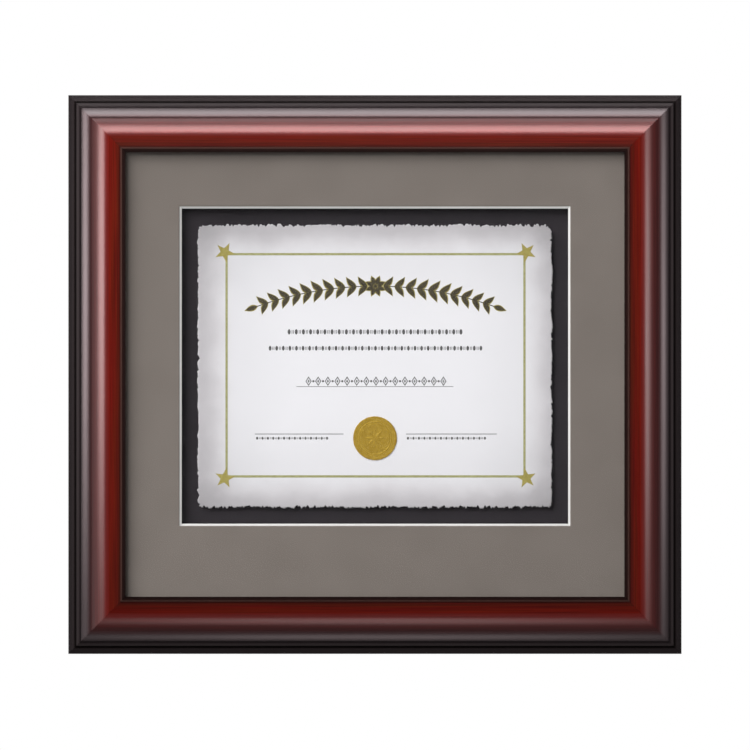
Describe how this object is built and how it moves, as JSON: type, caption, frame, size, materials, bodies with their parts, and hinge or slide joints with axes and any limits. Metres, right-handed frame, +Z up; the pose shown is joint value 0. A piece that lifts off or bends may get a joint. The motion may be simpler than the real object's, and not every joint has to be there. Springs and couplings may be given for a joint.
{
  "type": "certificate frame",
  "caption": "Wall-hung lacquered wood certificate frame with a bevelled window mat, a floated deckle-edge sheet with a gold seal, and a turn-button back with ring hangers.",
  "frame": {"origin": "middle of the frame's outline, in the plane of the wall that the bumpers rest on", "axes": "+Z up, +Y towards the wall, +X to the right as seen from the front, which faces -Y"},
  "size_m": [0.437, 0.031, 0.3982],
  "materials": {
    "lacquered_wood": "satin lacquer, black outside and dark red inside",
    "black_foam_board": "matte",
    "nail_steel": "bare",
    "picture_glass": "clear",
    "taupe_suede_paper": "suede",
    "white_mat_core": "matte",
    "black_board": "matte",
    "foam_board": "matte",
    "handmade_paper": "mottled",
    "hinge_paper": "matte",
    "gold_foil": "embossed foil",
    "hardboard": "smooth",
    "zinc_steel": "zinc plated",
    "bumper_rubber": "matte"
  },
  "bodies": {
    "frame": {"top_rail": "lacquered_wood", "bottom_rail": "lacquered_wood", "left_rail": "lacquered_wood", "right_rail": "lacquered_wood", "spacer_top": "black_foam_board", "spacer_bottom": "black_foam_board", "spacer_left": "black_foam_board", "spacer_right": "black_foam_board", "corner_nails": "nail_steel", "glazing": "picture_glass", "mat_facing": "taupe_suede_paper", "mat_core": "white_mat_core", "float_board": "black_board", "certificate_riser": "foam_board", "certificate": "handmade_paper", "certificate_hinges": "hinge_paper", "gold_seal": "gold_foil", "filler_board": "foam_board", "backing_board": "hardboard", "turn_button_screws": "zinc_steel", "hanger_screws": "zinc_steel", "hanger_strap_left": "zinc_steel", "bumper_left": "bumper_rubber", "hanger_strap_right": "zinc_steel", "bumper_right": "bumper_rubber"},
    "turn_button_top_left": {"turn_button_top_left": "zinc_steel"},
    "turn_button_top_right": {"turn_button_top_right": "zinc_steel"},
    "turn_button_bottom_left": {"turn_button_bottom_left": "zinc_steel"},
    "turn_button_bottom_right": {"turn_button_bottom_right": "zinc_steel"},
    "turn_button_left": {"turn_button_left": "zinc_steel"},
    "turn_button_right": {"turn_button_right": "zinc_steel"},
    "hanger_ring_left": {"hanger_ring_left": "zinc_steel"},
    "hanger_ring_right": {"hanger_ring_right": "zinc_steel"}
  },
  "joints": [
    {"name": "turn_button_top_left_turn", "type": "hinge", "parent": "frame", "child": "turn_button_top_left", "pos_m": [-0.11, -0.005, 0.17625], "axis": [0, 1, 0], "continuous": true},
    {"name": "turn_button_top_right_turn", "type": "hinge", "parent": "frame", "child": "turn_button_top_right", "pos_m": [0.11, -0.005, 0.17625], "axis": [0, 1, 0], "continuous": true},
    {"name": "turn_button_bottom_left_turn", "type": "hinge", "parent": "frame", "child": "turn_button_bottom_left", "pos_m": [-0.11, -0.005, -0.17625], "axis": [0, 1, 0], "continuous": true},
    {"name": "turn_button_bottom_right_turn", "type": "hinge", "parent": "frame", "child": "turn_button_bottom_right", "pos_m": [0.11, -0.005, -0.17625], "axis": [0, 1, 0], "continuous": true},
    {"name": "turn_button_left_turn", "type": "hinge", "parent": "frame", "child": "turn_button_left", "pos_m": [-0.19565, -0.005, -0.025], "axis": [0, 1, 0], "continuous": true},
    {"name": "turn_button_right_turn", "type": "hinge", "parent": "frame", "child": "turn_button_right", "pos_m": [0.19565, -0.005, -0.025], "axis": [0, 1, 0], "continuous": true},
    {"name": "hanger_ring_left_swing", "type": "hinge", "parent": "frame", "child": "hanger_ring_left", "pos_m": [-0.20208, -0.00285, 0.0661], "axis": [-1, 0, 0], "range_deg": [0, 175]},
    {"name": "hanger_ring_right_swing", "type": "hinge", "parent": "frame", "child": "hanger_ring_right", "pos_m": [0.20208, -0.00285, 0.0661], "axis": [-1, 0, 0], "range_deg": [0, 175]}
  ]
}
